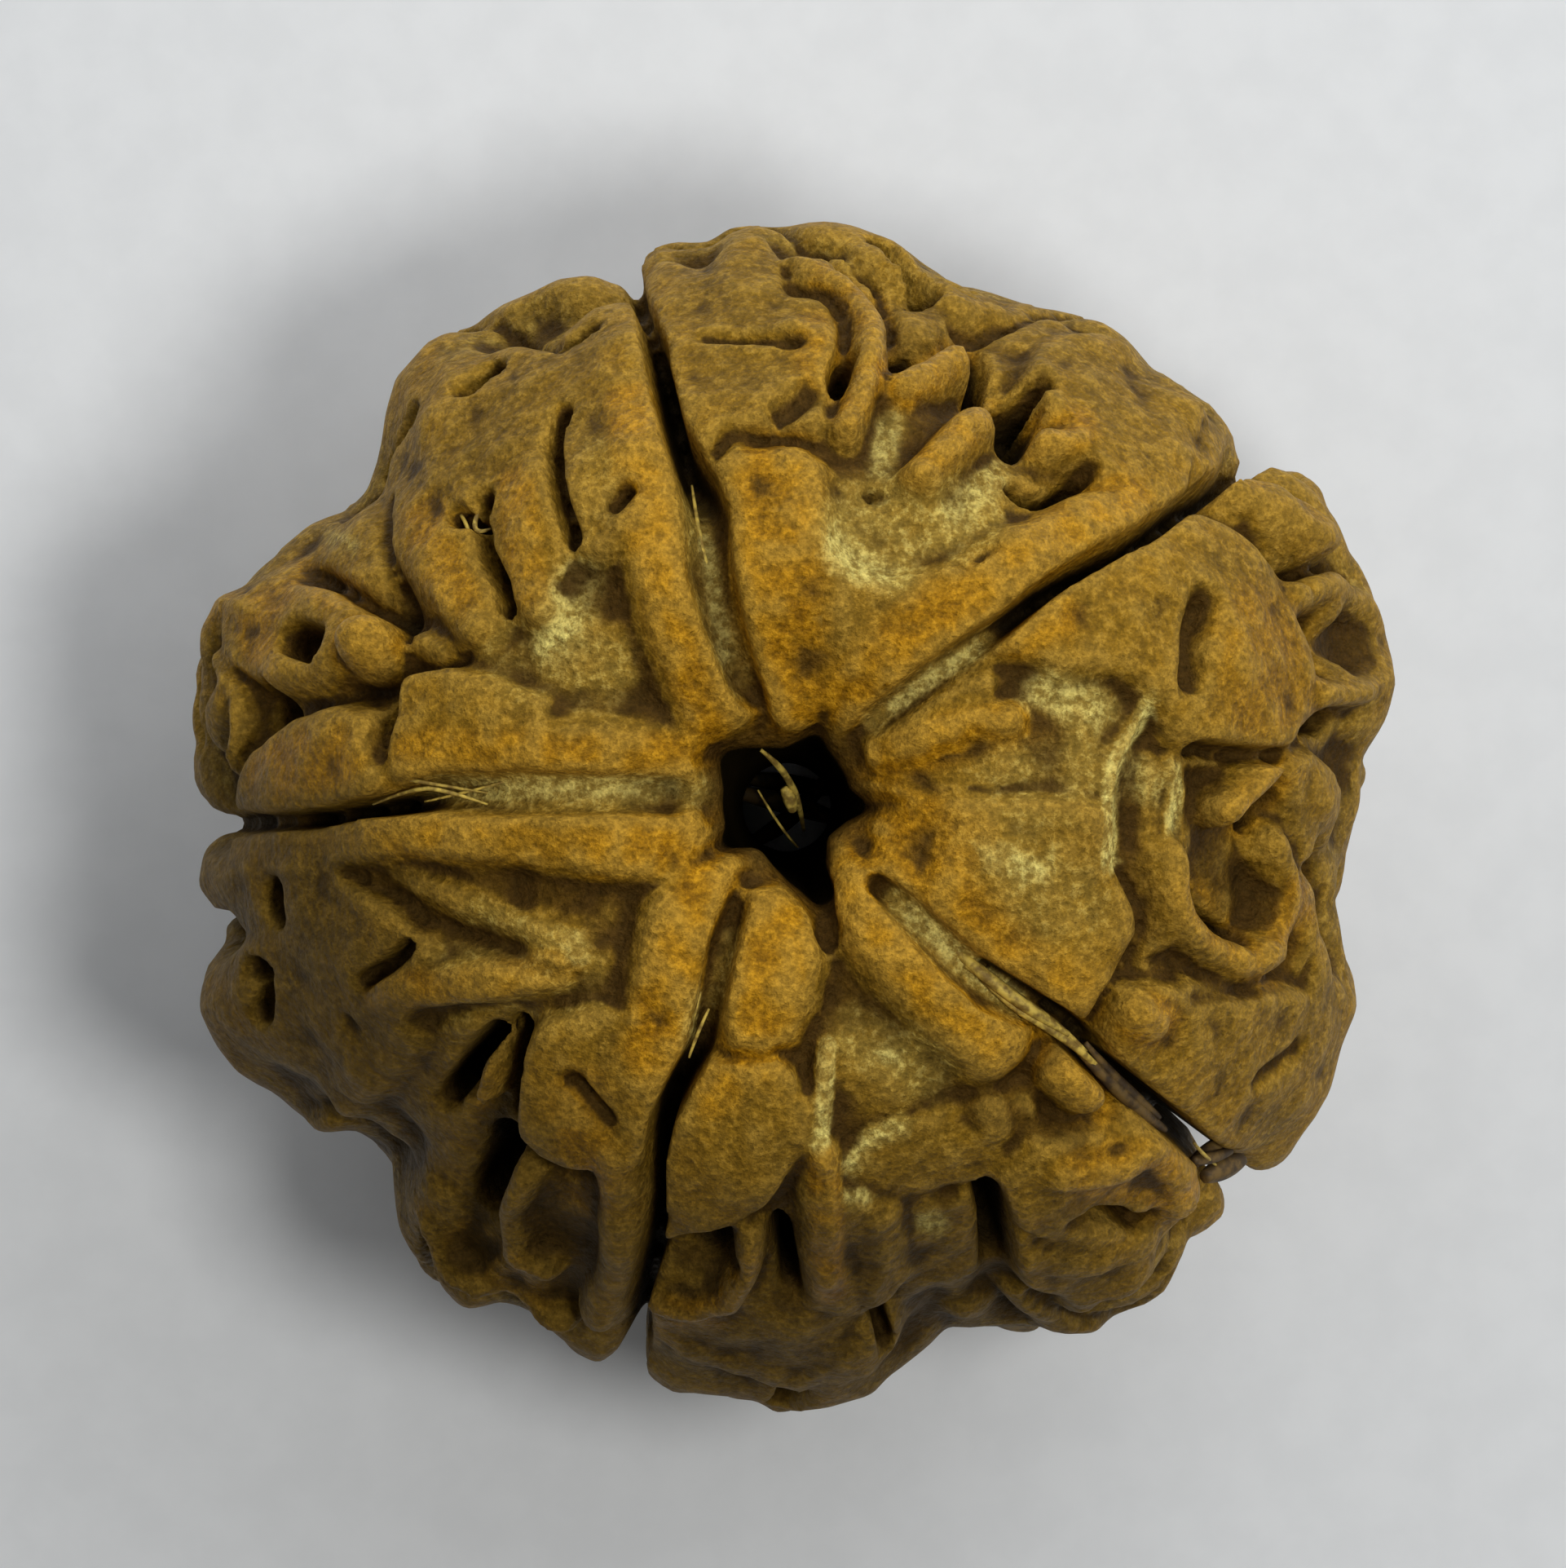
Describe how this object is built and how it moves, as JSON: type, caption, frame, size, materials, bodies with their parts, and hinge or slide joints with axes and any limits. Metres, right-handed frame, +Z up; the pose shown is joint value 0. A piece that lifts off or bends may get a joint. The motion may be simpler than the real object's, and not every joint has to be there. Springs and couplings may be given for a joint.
{
  "type": "rudraksha bead",
  "caption": "Natural rudraksha bead: rounded lobed seed stone with a rugged ridged surface, deep radial grooves and a through thread hole.",
  "frame": {"origin": "centre of the bounding box on the plane that the bead rests on", "axes": "+Z up along the thread hole, +Y towards the top of the picture"},
  "size_m": [0.021, 0.0208, 0.017],
  "materials": {
    "seed_stone": "satin, waxy on the worn ridges and dusty in the hollows"
  },
  "bodies": {
    "root": {"bead": "seed_stone"}
  },
  "joints": []
}
